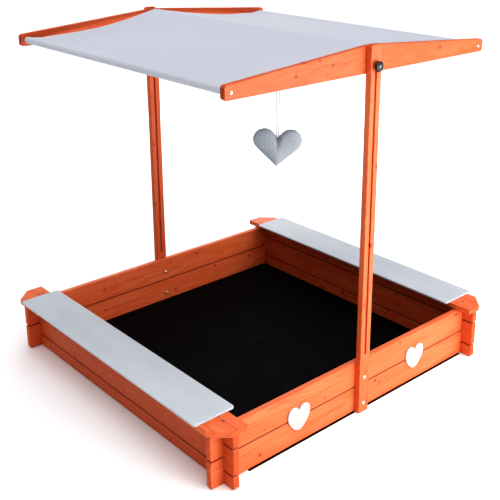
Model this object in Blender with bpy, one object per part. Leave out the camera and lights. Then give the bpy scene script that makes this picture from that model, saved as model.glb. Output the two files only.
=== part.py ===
"""A wooden sandbox: a pit of cross-lapped boards, two bench planks and a canopy roof.

The roof slides down two slotted posts to cover the pit, and it tilts on its clamp bolts.
Metres, +Z up. X runs along the front wall and the front, with the wooden hearts, faces -Y.
"""

import math

import bmesh
import bpy
from mathutils import Vector

GAP = 0.0003

# Pit walls. Every notch is a quarter of a board deep, so the crossing boards stack up evenly.
BOARD_HEIGHT = 0.088
BOARD_THICKNESS = 0.020
QUARTER = BOARD_HEIGHT / 4
WALL_X = 0.555
WALL_Y = 0.537
STUB = 0.045
BOARD_END_CLIP = 0.006
SHEET_THICKNESS = 0.001
SHEET_HALF_X = 0.545
SHEET_HALF_Y = 0.530
SHEET_FLAP_X = (-0.465, 0.530)
SHEET_FLAP_Y = 0.543
WALL_BASE = SHEET_THICKNESS + GAP
WALL_TOP = WALL_BASE + 8 * QUARTER
CROSS_X = WALL_X - BOARD_THICKNESS / 2
CROSS_Y = WALL_Y - BOARD_THICKNESS / 2

# Corner boards and benches
CORNER_THICKNESS = 0.0180
CORNER_X = (0.505, 0.613)
CORNER_Y = (0.400, 0.584)
CORNER_CLIP = 0.050
CORNER_TOP = WALL_TOP + CORNER_THICKNESS
BENCH_X = (0.482, 0.625)
BENCH_HALF_LENGTH = 0.502
BENCH_THICKNESS = 0.007
BENCH_BASE = CORNER_TOP + GAP
BENCH_ROUNDING = 0.009
BENCH_SCREW_X = 0.584
BENCH_SCREW_Y = 0.450
BENCH_SCREW_BITE = 0.0045

# Posts
POST_WIDTH = 0.0435
POST_DEPTH = 0.019
POST_HEIGHT = 1.1735
POST_INNER_Y = WALL_Y + GAP
POST_OUTER_Y = POST_INNER_Y + POST_DEPTH
SLOT_WIDTH = 0.008
SLOT_BOTTOM = 0.205
SLOT_TOP = 1.121
POST_BOLT_HEIGHTS = {"lower": 0.032, "upper": 0.124}

# Roof, with the ridge along Y
BOLT_HEIGHT = 1.113
ROOF_BASE = 1.091
ROOF_EAVE = 1.130
ROOF_PEAK = 1.1705
ROOF_HALF_LENGTH = 0.530
ROOF_BOARD_THICKNESS = 0.0178
ROOF_BOARD_OUTER_Y = WALL_Y
ROOF_BOARD_INNER_Y = ROOF_BOARD_OUTER_Y - ROOF_BOARD_THICKNESS
RAIL_RADIUS = 0.009
RAIL_X = 0.5085
RAIL_HEIGHT = 1.110
RIDGE_HEIGHT = 1.1575
RAIL_HALF_LENGTH = ROOF_BOARD_INNER_Y - GAP
RAIL_SCREW_BORE = 0.027

# Canopy
CLOTH_THICKNESS = 0.001
CANOPY_HALF_LENGTH = 0.515
HEM_RADIUS = RAIL_RADIUS + 0.001
RIDGE_FOLD_RADIUS = RAIL_RADIUS + 0.0018
HEM_DEPTH = 0.032
CANOPY_DIP = 0.003

# Clamp: bolt, washer and knob
BOLT_RADIUS = 0.003
RUNNING_RADIUS = 0.00308
CLEARANCE_RADIUS = 0.0034
WASHER_RADIUS = 0.009
WASHER_THICKNESS = 0.0016
KNOB_LOBES = 7
KNOB_RADIUS = 0.0160
KNOB_LOBE_DEPTH = 0.0014
KNOB_LENGTH = 0.015

# Hearts
WOOD_HEART_WIDTH = 0.090
WOOD_HEART_THICKNESS = 0.005
WOOD_HEART_X = 0.268
WOOD_HEART_TIP = 0.047
PLUSH_WIDTH = 0.160
PLUSH_HEIGHT = 0.127
PLUSH_THICKNESS = 0.048
PLUSH_TIP = 0.724
PLUSH_Y = -0.150
PLUSH_TURN = math.radians(-42)
PLUSH_LEAN = math.radians(3)
PLUSH_CLEFT = 0.098
RIBBON_WIDTH = 0.006
RIBBON_THICKNESS = 0.0006
RIBBON_SPREAD = 0.004
RIBBON_END = 0.8300

ROUND_SIDES = 24
RUNNING_SIDES = 32
SCREW_SIDES = 16


def clear_scene():
    for obj in list(bpy.data.objects):
        bpy.data.objects.remove(obj, do_unlink=True)


def material(name, colour, roughness, metallic=0.0):
    made = bpy.data.materials.new(name)
    made.use_nodes = True
    shader = made.node_tree.nodes["Principled BSDF"]
    shader.inputs["Base Color"].default_value = (*colour, 1)
    shader.inputs["Roughness"].default_value = roughness
    shader.inputs["Metallic"].default_value = metallic
    made.diffuse_color = (*colour, 1)
    return made


def pivot(name, location, parent=None):
    """An empty on a joint's axis."""
    empty = bpy.data.objects.new(name, None)
    empty.empty_display_size = 0.05
    bpy.context.scene.collection.objects.link(empty)
    empty.parent = parent
    empty.location = Vector(location) - pivot_origin(parent)
    return empty


def pivot_origin(parent):
    """Where an empty stands. No empty is rotated, so the locations add up."""
    origin = Vector()
    while parent:
        origin += parent.location
        parent = parent.parent
    return origin


def node(name, form, made_of, location=(0, 0, 0), rotation=(0, 0, 0), parent=None):
    """A named sub-part with the mesh of the bmesh form."""
    mesh = bpy.data.meshes.new(name)
    form.to_mesh(mesh)
    form.free()
    mesh.materials.append(made_of)
    obj = bpy.data.objects.new(name, mesh)
    bpy.context.scene.collection.objects.link(obj)
    obj.parent = parent
    obj.location = Vector(location) - pivot_origin(parent)
    obj.rotation_euler = rotation
    return obj


def smooth(obj):
    obj.data.shade_smooth()
    obj.data.set_sharp_from_angle(angle=math.radians(40))


def prism(outline, depth):
    """A closed outline in XZ, given counterclockwise as seen from -Y, made depth thick along Y."""
    form = bmesh.new()
    corners = [form.verts.new((x, -depth / 2, z)) for x, z in outline]
    face = form.faces.new(corners)
    side = bmesh.ops.extrude_face_region(form, geom=[face])
    moved = [item for item in side["geom"] if isinstance(item, bmesh.types.BMVert)]
    bmesh.ops.translate(form, verts=moved, vec=(0, depth, 0))
    bmesh.ops.recalc_face_normals(form, faces=form.faces)
    return form


def lathe(profile, sides=ROUND_SIDES):
    """A profile of (radius, z) points turned about Z. It starts and ends on the axis."""
    form = bmesh.new()
    rings = []
    for radius, z in profile:
        if radius == 0:
            rings.append([form.verts.new((0, 0, z))])
            continue
        turns = (2 * math.pi * step / sides for step in range(sides))
        rings.append([form.verts.new((radius * math.cos(t), radius * math.sin(t), z)) for t in turns])
    for low, high in zip(rings, rings[1:]):
        bridge(form, low, high)
    bmesh.ops.recalc_face_normals(form, faces=form.faces)
    return form


def bridge(form, low, high):
    """Faces between two rings of points, either of which may be a single point."""
    sides = max(len(low), len(high))
    for step in range(sides):
        after = (step + 1) % sides
        if len(low) == 1:
            form.faces.new((low[0], high[step], high[after]))
        elif len(high) == 1:
            form.faces.new((low[step], low[after], high[0]))
        else:
            form.faces.new((low[step], low[after], high[after], high[step]))


def ring(profile, sides=RUNNING_SIDES, lobe=None):
    """A closed profile of (radius, z) points turned about Z, which leaves a bore."""
    form = bmesh.new()
    rings = []
    for radius, z in profile:
        points = []
        for step in range(sides):
            turn = 2 * math.pi * step / sides
            reach = radius + lobe(radius, turn) if lobe else radius
            points.append(form.verts.new((reach * math.cos(turn), reach * math.sin(turn), z)))
        rings.append(points)
    for low, high in zip(rings, rings[1:] + rings[:1]):
        bridge(form, low, high)
    bmesh.ops.recalc_face_normals(form, faces=form.faces)
    return form


def soften(obj, width, segments=2, angle=30):
    """Rounds every edge sharper than the angle."""
    modifier = obj.modifiers.new("rounded edges", "BEVEL")
    modifier.width = width
    modifier.segments = segments
    modifier.limit_method = "ANGLE"
    modifier.angle_limit = math.radians(angle)


def cutter(name, form, location, rotation=(0, 0, 0), parent=None):
    obj = node(name, form, bpy.data.materials["zinc"], location, rotation, parent)
    obj.hide_render = True
    obj.display_type = "WIRE"
    return obj


def cut(obj, tool):
    modifier = obj.modifiers.new(tool.name, "BOOLEAN")
    modifier.operation = "DIFFERENCE"
    modifier.solver = "EXACT"
    modifier.object = tool


def facing(side):
    """The rotation that points a turned piece's +Z along -Y (side -1) or +Y (side 1)."""
    return (math.radians(-90 * side), 0, 0)


def rounded_rectangle(low, high, radius, steps=4):
    """Counterclockwise points with quarter circles at the corners."""
    (x0, y0), (x1, y1) = low, high
    centres = [(x1 - radius, y0 + radius, -90), (x1 - radius, y1 - radius, 0)]
    centres += [(x0 + radius, y1 - radius, 90), (x0 + radius, y0 + radius, 180)]
    points = []
    for cx, cy, start in centres:
        for step in range(steps + 1):
            turn = math.radians(start + 90 * step / steps)
            points.append((cx + radius * math.cos(turn), cy + radius * math.sin(turn)))
    return points


def flat_plate(outline, thickness):
    """A prism whose outline lies in XY, with its underside at z 0."""
    form = prism(outline, thickness)
    for vertex in form.verts:
        x, y, z = vertex.co
        vertex.co = (x, z, thickness / 2 - y)
    return form


# Pit


def wall_board(name, levels, crossing_levels, half_length, cross, made_of, centre, turned):
    """A board with cross-lap notches. The levels count quarters of a board from the wall's foot."""
    bottom, top = (WALL_BASE + level * QUARTER for level in levels)
    floor, roof = (WALL_BASE + level * QUARTER for level in crossing_levels)
    top -= GAP
    roof -= GAP
    reach = BOARD_THICKNESS / 2 + GAP
    clip = BOARD_END_CLIP
    outline = [(-half_length, bottom + clip), (-half_length + clip, bottom)]
    for middle in (-cross, cross):
        if floor > bottom:
            outline += [(middle - reach, bottom), (middle - reach, floor)]
            outline += [(middle + reach, floor), (middle + reach, bottom)]
    outline += [(half_length - clip, bottom), (half_length, bottom + clip)]
    outline += [(half_length, top - clip), (half_length - clip, top)]
    for middle in (cross, -cross):
        if roof < top:
            outline += [(middle + reach, top), (middle + reach, roof)]
            outline += [(middle - reach, roof), (middle - reach, top)]
    outline += [(-half_length + clip, top), (-half_length, top - clip)]
    form = prism(outline, BOARD_THICKNESS)
    weight = form.edges.layers.float.new("bevel_weight_edge")
    for edge in form.edges:
        first, second = (vertex.co for vertex in edge.verts)
        on_rim = any(max(abs(first.z - z), abs(second.z - z)) < GAP / 2 for z in (bottom, top))
        on_end = min(abs(first.x), abs(second.x)) > half_length - GAP / 2
        along = abs(first.y - second.y) < GAP
        if (on_rim and along) or on_end:
            edge[weight] = 1
    rotation = (0, 0, math.radians(90)) if turned else (0, 0, 0)
    obj = node(name, form, made_of, centre, rotation)
    modifier = obj.modifiers.new("rounded edges", "BEVEL")
    modifier.width = 0.0030
    modifier.segments = 2
    modifier.limit_method = "WEIGHT"
    return obj


def pit_walls(wood):
    """Whole boards on the front and back. The sides are half a board out of step."""
    walls = {}
    for side, name in ((-1, "front"), (1, "back")):
        for level, word in ((0, "lower"), (4, "upper")):
            walls[name, word] = wall_board(
                f"{name}_board_{word}",
                (level, level + 4),
                (level + 1, level + 3),
                WALL_X + STUB,
                CROSS_X,
                wood,
                (0, side * CROSS_Y, 0),
                turned=False,
            )
    courses = {"bottom": ((0, 2), (0, 1)), "middle": ((2, 6), (3, 5)), "top": ((6, 8), (7, 8))}
    for side, name in ((-1, "left"), (1, "right")):
        for word, (levels, crossing) in courses.items():
            walls[name, word] = wall_board(
                f"{name}_board_{word}",
                levels,
                crossing,
                WALL_Y + STUB,
                CROSS_Y,
                wood,
                (side * CROSS_X, 0, 0),
                turned=True,
            )
    return walls


def ground_sheet(cloth):
    """The membrane under the walls. Its front and back flaps stick out, notched round the posts."""
    notch_x = POST_WIDTH / 2 + 0.001
    notch_y = WALL_Y - 0.001
    left, right = SHEET_FLAP_X
    front = [(-SHEET_HALF_X, SHEET_HALF_Y), (left, SHEET_HALF_Y), (left, SHEET_FLAP_Y)]
    front += [(-notch_x, SHEET_FLAP_Y), (-notch_x, notch_y), (notch_x, notch_y)]
    front += [(notch_x, SHEET_FLAP_Y), (right, SHEET_FLAP_Y), (right, SHEET_HALF_Y)]
    front += [(SHEET_HALF_X, SHEET_HALF_Y)]
    outline = [(x, -y) for x, y in front] + front[::-1]
    node("ground_sheet", flat_plate(outline, SHEET_THICKNESS), cloth)


def screw_profile(length, play=0.0):
    """A countersunk wood screw with its head's top at z 0, or with play the hole that it goes in."""
    over = 0.004 if play else 0.0
    head = 0.0040 + play
    shank = 0.0019 + play
    return [
        (0, over),
        (head, over),
        (head, -0.0006),
        (shank, -0.0030 - play),
        (shank, -length + 0.004),
        (0, -length - play),
    ]


def cross_slot(screw, head_top, place, rotation=(0, 0, 0), parent=None):
    """Cuts a driver's cross into a screw's head."""
    arm, blade, depth = 0.0024, 0.0006, 0.0015
    outline = [(blade, arm), (-blade, arm), (-blade, blade)]
    outline += [(-arm, blade), (-arm, -blade), (-blade, -blade)]
    outline += [(-x, -z) for x, z in outline]
    form = flat_plate(outline, 2 * depth)
    bmesh.ops.translate(form, verts=form.verts, vec=(0, 0, head_top - depth))
    cut(screw, cutter(f"{screw.name}_slot", form, place, rotation, parent))


def corners(wood, zinc, walls):
    """The four boards that cap the wall crossings, each held by one screw."""
    boards = {}
    for side_y, end in ((-1, "front"), (1, "back")):
        for side_x, hand in ((-1, "left"), (1, "right")):
            (x0, x1), (y0, y1) = CORNER_X, CORNER_Y
            outline = [(x0, y0), (x1, y0), (x1, y1 - CORNER_CLIP), (x1 - CORNER_CLIP, y1), (x0, y1)]
            outline = [(side_x * x, side_y * y) for x, y in outline]
            plate = flat_plate(outline, CORNER_THICKNESS - GAP)
            board = node(f"{end}_{hand}_corner_board", plate, wood, (0, 0, WALL_TOP))
            soften(board, 0.0012)
            place = (side_x * CROSS_X, side_y * CROSS_Y, CORNER_TOP - GAP)
            length = CORNER_THICKNESS + 0.017
            profile = screw_profile(length)
            screw = node(f"{end}_{hand}_corner_screw", lathe(profile, SCREW_SIDES), zinc, place)
            smooth(screw)
            cross_slot(screw, 0, place)
            form = lathe(screw_profile(length, GAP), SCREW_SIDES)
            hole = cutter(f"{end}_{hand}_corner_hole", form, place)
            cut(board, hole)
            cut(walls[hand, "top"], hole)
            boards[hand, end] = board
    return boards


def benches(paint, wood, zinc, corner_boards):
    """The seat planks rest on the corner boards and on a batten, and are screwed from below."""
    for side, hand in ((-1, "left"), (1, "right")):
        x0, x1 = sorted(side * x for x in BENCH_X)
        outline = rounded_rectangle((x0, -BENCH_HALF_LENGTH), (x1, BENCH_HALF_LENGTH), BENCH_ROUNDING)
        plank = node(f"{hand}_bench", flat_plate(outline, BENCH_THICKNESS), paint, (0, 0, BENCH_BASE))
        soften(plank, 0.0015)
        half_x = BOARD_THICKNESS / 2
        half_y = CORNER_Y[0] - GAP
        outline = [(-half_x, -half_y), (half_x, -half_y), (half_x, half_y), (-half_x, half_y)]
        strip = flat_plate(outline, CORNER_THICKNESS - GAP)
        batten = node(f"{hand}_bench_batten", strip, wood, (side * CROSS_X, 0, WALL_TOP))
        soften(batten, 0.001, segments=1)
        for side_y, end in ((-1, "front"), (1, "back")):
            place = (side * BENCH_SCREW_X, side_y * BENCH_SCREW_Y, WALL_TOP)
            length = CORNER_THICKNESS + BENCH_SCREW_BITE
            below = (math.radians(180), 0, 0)
            profile = screw_profile(length)
            screw = node(f"{end}_{hand}_bench_screw", lathe(profile, SCREW_SIDES), zinc, place, below)
            smooth(screw)
            cross_slot(screw, 0, place, below)
            form = lathe(screw_profile(length, GAP), SCREW_SIDES)
            hole = cutter(f"{end}_{hand}_bench_hole", form, place, below)
            cut(corner_boards[hand, end], hole)
            cut(plank, hole)


def bezier(first, lean_out, lean_in, last, steps=7):
    """Points along a cubic curve, without its last point."""
    points = []
    for item in range(steps):
        t = item / steps
        weights = ((1 - t) ** 3, 3 * t * (1 - t) ** 2, 3 * t * t * (1 - t), t**3)
        parts = zip(weights, (first, lean_out, lean_in, last))
        points.append(tuple(sum((Vector(point) * weight for weight, point in parts), Vector((0, 0)))))
    return points


def wood_hearts(paint):
    """Two flat hearts on the front wall, with full sides and a blunt tip, in shares of their width."""
    tip = (0.0, 0.0)
    widest = (0.50, 0.585)
    crown = (0.255, 0.925)
    cleft = (0.0, 0.755)
    right = bezier(tip, (0.17, 0.0), (0.50, 0.34), widest)
    right += bezier(widest, (0.50, 0.80), (0.41, 0.925), crown)
    right += bezier(crown, (0.12, 0.925), (0.035, 0.875), cleft)
    outline = right + [cleft] + [(-x, z) for x, z in right[:0:-1]]
    outline = [(x * WOOD_HEART_WIDTH, z * WOOD_HEART_WIDTH) for x, z in outline]
    for side, hand in ((-1, "left"), (1, "right")):
        place = (side * WOOD_HEART_X, -WALL_Y - GAP - WOOD_HEART_THICKNESS / 2, WOOD_HEART_TIP)
        heart = node(f"{hand}_wooden_heart", prism(outline, WOOD_HEART_THICKNESS), paint, place)
        soften(heart, 0.0012, angle=60)


# Posts and their fixings


def post(name, side, wood):
    """A slat with a long slot for the clamp bolt."""
    half = POST_WIDTH / 2
    top_clip = 0.006
    foot_clip = 0.004
    outline = [(-half + foot_clip, 0), (half - foot_clip, 0), (half, foot_clip)]
    outline += [(half, POST_HEIGHT - top_clip), (half - top_clip, POST_HEIGHT)]
    outline += [(-half + top_clip, POST_HEIGHT), (-half, POST_HEIGHT - top_clip), (-half, foot_clip)]
    middle_y = side * (POST_INNER_Y + POST_DEPTH / 2)
    obj = node(name, prism(outline, POST_DEPTH), wood, (0, middle_y, 0))
    soften(obj, 0.0015)
    half_slot = SLOT_WIDTH / 2
    slot = rounded_rectangle((-half_slot, SLOT_BOTTOM), (half_slot, SLOT_TOP), half_slot - 1e-5)
    cut(obj, cutter(f"{name}_slot", prism(slot, 2 * POST_DEPTH), (0, middle_y, 0)))
    return obj


def post_bolts(end, side, slat, walls, zinc):
    """Two bolts through the post and the wall, with a domed head outside and a cap nut inside."""
    inner = WALL_Y - BOARD_THICKNESS
    tip = inner - 0.0075
    nut_length = 0.0100
    for word, height in POST_BOLT_HEIGHTS.items():
        head_face = POST_OUTER_Y + GAP
        bolt_profile = [(0, tip), (BOLT_RADIUS, tip), (BOLT_RADIUS, head_face)]
        bolt_profile += [(0.0068, head_face), (0.0062, head_face + 0.0014), (0.0036, head_face + 0.0026)]
        bolt_profile += [(0, head_face + 0.0030)]
        name = f"{end}_post_bolt_{word}"
        bolt = node(name, lathe(bolt_profile, 16), zinc, (0, 0, height), facing(side))
        smooth(bolt)
        nut_face = inner - GAP
        nut_profile = [(0, tip - 0.0006), (CLEARANCE_RADIUS, tip - 0.0006), (CLEARANCE_RADIUS, nut_face)]
        nut_profile += [(0.0054, nut_face), (0.0056, nut_face - 0.0005), (0.0056, nut_face - 0.0048)]
        nut_profile += [(0.0046, nut_face - 0.0052), (0.0043, nut_face - 0.0070)]
        nut_profile += [(0.0031, nut_face - 0.0091), (0, nut_face - nut_length)]
        nut = node(f"{end}_post_nut_{word}", lathe(nut_profile, 18), zinc, (0, 0, height), facing(side))
        smooth(nut)
        hole_profile = [(0, inner - 0.01), (CLEARANCE_RADIUS, inner - 0.01)]
        hole_profile += [(CLEARANCE_RADIUS, POST_OUTER_Y + 0.01), (0, POST_OUTER_Y + 0.01)]
        hole = cutter(f"{name}_hole", lathe(hole_profile, 16), (0, 0, height), facing(side))
        cut(slat, hole)
        cut(walls[end, word], hole)


# Roof


def clamp(end, side, carriage, zinc, plastic):
    """The bolt that a roof board hangs and tilts on, with the washer and the knob that clamp it."""
    place = (0, 0, BOLT_HEIGHT)
    turned = facing(side)
    head_face = ROOF_BOARD_INNER_Y - GAP
    washer_face = POST_OUTER_Y + GAP
    knob_face = washer_face + WASHER_THICKNESS + GAP
    tip = knob_face + KNOB_LENGTH - 0.0015
    profile = [(0, head_face - 0.0032), (0.0040, head_face - 0.0028), (0.0066, head_face - 0.0012)]
    profile += [(0.0070, head_face), (BOLT_RADIUS, head_face), (BOLT_RADIUS, tip - 0.0006)]
    profile += [(BOLT_RADIUS - 0.0006, tip), (0, tip)]
    bolt = node(f"{end}_clamp_bolt", lathe(profile, RUNNING_SIDES), zinc, place, turned, carriage)
    smooth(bolt)
    washer_profile = [(CLEARANCE_RADIUS, washer_face), (WASHER_RADIUS, washer_face)]
    washer_profile += [(WASHER_RADIUS, washer_face + WASHER_THICKNESS)]
    washer_profile += [(CLEARANCE_RADIUS, washer_face + WASHER_THICKNESS)]
    washer = node(f"{end}_clamp_washer", ring(washer_profile), zinc, place, turned, carriage)
    smooth(washer)
    knob_profile = [(RUNNING_RADIUS, 0), (0.0085, 0), (0.0085, 0.0035), (0.0138, 0.0040)]
    knob_profile += [(KNOB_RADIUS, 0.0062), (KNOB_RADIUS, 0.0108), (0.0142, 0.0132)]
    knob_profile += [(0.0088, KNOB_LENGTH), (RUNNING_RADIUS, KNOB_LENGTH)]
    knob_profile = [(radius, knob_face + z) for radius, z in knob_profile]
    knob = node(
        f"{end}_knob", ring(knob_profile, 6 * KNOB_LOBES, knob_lobe), plastic, place, turned, carriage
    )
    smooth(knob)


def knob_lobe(radius, turn):
    """The grip's outer rings swell and shrink in soft lobes."""
    if radius < 0.012:
        return 0.0
    return KNOB_LOBE_DEPTH * (math.cos(KNOB_LOBES * turn) - 1) / 2


def roof_board(name, side, roof, wood):
    """A gable board: straight below, rising from both ends to the peak."""
    end_round = 0.006
    right = [(ROOF_HALF_LENGTH - end_round, ROOF_BASE), (ROOF_HALF_LENGTH, ROOF_BASE + end_round)]
    right += [(ROOF_HALF_LENGTH, ROOF_EAVE - end_round), (ROOF_HALF_LENGTH - end_round, ROOF_EAVE)]
    peak = [(0.012, ROOF_PEAK - 0.0008), (-0.012, ROOF_PEAK - 0.0008)]
    left = [(-x, z) for x, z in reversed(right)]
    outline = [(x, z - BOLT_HEIGHT) for x, z in right + peak + left]
    place = (0, side * (ROOF_BOARD_INNER_Y + ROOF_BOARD_THICKNESS / 2), BOLT_HEIGHT)
    board = node(name, prism(outline, ROOF_BOARD_THICKNESS), wood, place, parent=roof)
    soften(board, 0.0015)
    reach = ROOF_BOARD_THICKNESS
    profile = [(0, -reach), (RUNNING_RADIUS, -reach), (RUNNING_RADIUS, reach), (0, reach)]
    form = lathe(profile, RUNNING_SIDES)
    cut(board, cutter(f"{name}_pivot_hole", form, place, facing(side), roof))
    return board


def rails(roof, wood, steel, boards):
    """Three round rails between the gable boards, screwed on through the boards."""
    bore = 0.0025
    face = RAIL_HALF_LENGTH
    floor = face - RAIL_SCREW_BORE
    edge = RAIL_RADIUS - 0.001
    profile = [(0, -floor), (bore, -floor), (bore, -face), (edge, -face), (RAIL_RADIUS, -face + 0.001)]
    profile += [(radius, -z) for radius, z in reversed(profile)]
    places = {"left": (-RAIL_X, RAIL_HEIGHT), "ridge": (0, RIDGE_HEIGHT), "right": (RAIL_X, RAIL_HEIGHT)}
    for name, (x, z) in places.items():
        smooth(node(f"{name}_rail", lathe(profile), wood, (x, 0, z), facing(1), roof))
        domed = name != "ridge"
        for side, end in ((-1, "front"), (1, "back")):
            rail_screw(f"{end}_{name}_rail_screw", domed, side, (x, z), roof, steel, boards[end])


def rail_screw(name, domed, side, place, roof, steel, board):
    """A screw through a gable board. At the ridge it is countersunk, because the post slides past it."""
    x, z = place
    length = ROOF_BOARD_THICKNESS + RAIL_SCREW_BORE - 0.002
    at = (x, side * (ROOF_BOARD_OUTER_Y - GAP), z)
    profile = screw_profile(length)
    hole_profile = screw_profile(length, GAP)
    if domed:
        dome = [(0, 0.0032), (0.0030, 0.0029), (0.0052, 0.0016), (0.0056, 2 * GAP)]
        shank = profile[-2:]
        profile = dome + [(shank[0][0], 2 * GAP)] + shank
        bore = shank[0][0] + GAP
        hole_profile = [(0, 0.004), (bore, 0.004), (bore, -length), (0, -length)]
    screw = node(name, lathe(profile, SCREW_SIDES), steel, at, facing(side), roof)
    smooth(screw)
    cross_slot(screw, max(z for _, z in profile), at, facing(side), roof)
    form = lathe(hole_profile, SCREW_SIDES)
    cut(board, cutter(f"{name}_hole", form, at, facing(side), roof))


def arc(centre, radius, start, end, step=15):
    """Points along a circle from one angle to another, in degrees."""
    count = max(2, round(abs(end - start) / step))
    turns = (math.radians(start + (end - start) * item / count) for item in range(count + 1))
    return [(centre[0] + radius * math.cos(turn), centre[1] + radius * math.sin(turn)) for turn in turns]


def thicken(path, thickness):
    """A closed outline that lies half the thickness to each side of an open path."""
    sides = ([], [])
    for item, point in enumerate(path):
        here = Vector(point)
        before = Vector(path[max(item - 1, 0)])
        after = Vector(path[min(item + 1, len(path) - 1)])
        into = (here - before).normalized()
        out = (after - here).normalized()
        across = (into + out).normalized().orthogonal()
        lean = max(0.5, abs(across.dot((out if out.length else into).orthogonal())))
        for side, reach in ((0, 0.5), (1, -0.5)):
            sides[side].append(tuple(here + across * thickness * reach / lean))
    return sides[0] + sides[1][::-1]


def canopy(roof, cloth):
    """The stretched cloth: a sewn hem pocket round each side rail, and a fold over the ridge rail."""
    eave = Vector((-RAIL_X, RAIL_HEIGHT))
    ridge = Vector((0, RIDGE_HEIGHT))
    rise = math.degrees(math.atan2(RIDGE_HEIGHT + RIDGE_FOLD_RADIUS - RAIL_HEIGHT, RAIL_X))
    wrap = math.degrees(math.acos(HEM_RADIUS / HEM_DEPTH))
    hem = arc(eave, HEM_RADIUS, rise - wrap, rise + wrap - 360)
    fold = arc(ridge, RIDGE_FOLD_RADIUS, 90 + rise, 90 - rise, step=4)
    along = Vector((math.cos(math.radians(rise)), math.sin(math.radians(rise))))
    seam = eave + along * HEM_DEPTH + Vector((0, CLOTH_THICKNESS))
    hem_end = seam - Vector((0, 2 * CLOTH_THICKNESS))
    start, end = seam, Vector(fold[0])
    slope = []
    for item in range(10):
        share = item / 10
        sag = Vector((0, -4 * CANOPY_DIP * share * (1 - share)))
        slope.append(tuple(start.lerp(end, share) + sag))
    half = [tuple(hem_end)] + hem + slope
    path = half + fold + [(-x, z) for x, z in reversed(half)]
    outline = [(x, z - BOLT_HEIGHT) for x, z in thicken(path, CLOTH_THICKNESS)]
    obj = node("canopy", prism(outline, 2 * CANOPY_HALF_LENGTH), cloth, (0, 0, BOLT_HEIGHT), parent=roof)
    smooth(obj)


# Hanging heart


def ribbon(hanger, cloth):
    """A loop over the ridge rail whose two ends go down to the heart."""
    radius = RAIL_RADIUS + GAP + RIBBON_THICKNESS / 2
    drop = RIDGE_HEIGHT - RIBBON_END
    # The strands leave the rail at a tangent and close in on the heart.
    lean = math.degrees((radius - RIBBON_SPREAD) / drop)
    over = arc((0, 0), radius, 180 + lean, -lean)
    path = [(-RIBBON_SPREAD, -drop)] + over + [(RIBBON_SPREAD, -drop)]
    outline = thicken(path, RIBBON_THICKNESS)
    node("ribbon", prism(outline, RIBBON_WIDTH), cloth, (0, PLUSH_Y, RIDGE_HEIGHT), parent=hanger)


def plush_outline():
    """Two round lobes and two straight sides down to the tip. The tip is at the origin."""
    lobe_radius = 0.0375
    lobe_x = PLUSH_WIDTH / 2 - lobe_radius
    lobe_z = PLUSH_HEIGHT - lobe_radius
    reach = math.hypot(lobe_x, lobe_z)
    tangent = math.degrees(math.atan2(-lobe_z, -lobe_x) + math.acos(lobe_radius / reach))
    half = arc((lobe_x, lobe_z), lobe_radius, tangent, 128, step=14)
    side = [tuple(Vector(half[0]) * share) for share in (0.35, 0.7)]
    right = side + half
    return [(0, 0)] + right + [(0, PLUSH_CLEFT)] + [(-x, z) for x, z in reversed(right)]


def plush_heart(hanger, cloth):
    """A stuffed heart, thickest in the middle of its face. It hangs from its cleft."""
    outline = [(x, z - PLUSH_CLEFT) for x, z in plush_outline()]
    middle = Vector((0, PLUSH_HEIGHT * 0.56 - PLUSH_CLEFT))
    form = bmesh.new()
    half = PLUSH_THICKNESS / 2
    layers = ((1.0, 0.16), (0.93, 0.52), (0.78, 0.80), (0.55, 0.95), (0.28, 1.0))
    rings = []
    for side in (-1, 1):
        ordered = reversed(layers) if side < 0 else layers
        for scale, puff in ordered:
            points = [middle.lerp(Vector(point), scale) for point in outline]
            rings.append([form.verts.new((x, side * puff * half, z)) for x, z in points])
    rings.insert(0, [form.verts.new((middle.x, -half, middle.y))])
    rings.append([form.verts.new((middle.x, half, middle.y))])
    for low, high in zip(rings, rings[1:]):
        bridge(form, low, high)
    bmesh.ops.recalc_face_normals(form, faces=form.faces)
    turn = (0, PLUSH_LEAN, PLUSH_TURN)
    heart = node("stuffed_heart", form, cloth, (0, PLUSH_Y, PLUSH_TIP + PLUSH_CLEFT), turn, hanger)
    heart.data.shade_smooth()


def build():
    clear_scene()
    orange = material("orange_wood", (0.80, 0.16, 0.035), 0.5)
    grey = material("grey_painted_wood", (0.52, 0.56, 0.60), 0.55)
    white = material("white_painted_wood", (0.86, 0.86, 0.86), 0.5)
    canopy_cloth = material("canopy_cloth", (0.60, 0.62, 0.72), 0.85)
    heart_cloth = material("heart_cloth", (0.36, 0.42, 0.49), 0.9)
    ribbon_cloth = material("ribbon_cloth", (0.88, 0.88, 0.88), 0.7)
    sheet_cloth = material("sheet_cloth", (0.012, 0.012, 0.014), 0.8)
    zinc = material("zinc", (0.72, 0.72, 0.70), 0.3, 1.0)
    plastic = material("black_plastic", (0.02, 0.02, 0.02), 0.35)

    walls = pit_walls(orange)
    ground_sheet(sheet_cloth)
    corner_boards = corners(orange, zinc, walls)
    benches(grey, orange, zinc, corner_boards)
    wood_hearts(white)

    carriage = pivot("roof_carriage_pivot", (0, 0, BOLT_HEIGHT))
    roof = pivot("roof_pivot", (0, 0, BOLT_HEIGHT), carriage)
    hanger = pivot("heart_pivot", (0, PLUSH_Y, RIDGE_HEIGHT), roof)
    boards = {}
    for side, end in ((-1, "front"), (1, "back")):
        slat = post(f"{end}_post", side, orange)
        post_bolts(end, side, slat, walls, zinc)
        clamp(end, side, carriage, zinc, plastic)
        boards[end] = roof_board(f"{end}_roof_board", side, roof, orange)
    rails(roof, orange, zinc, boards)
    canopy(roof, canopy_cloth)
    ribbon(hanger, ribbon_cloth)
    plush_heart(hanger, heart_cloth)


build()
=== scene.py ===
"""The looks of the wooden sandbox with its canopy roof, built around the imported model."""

import math
import random

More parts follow.
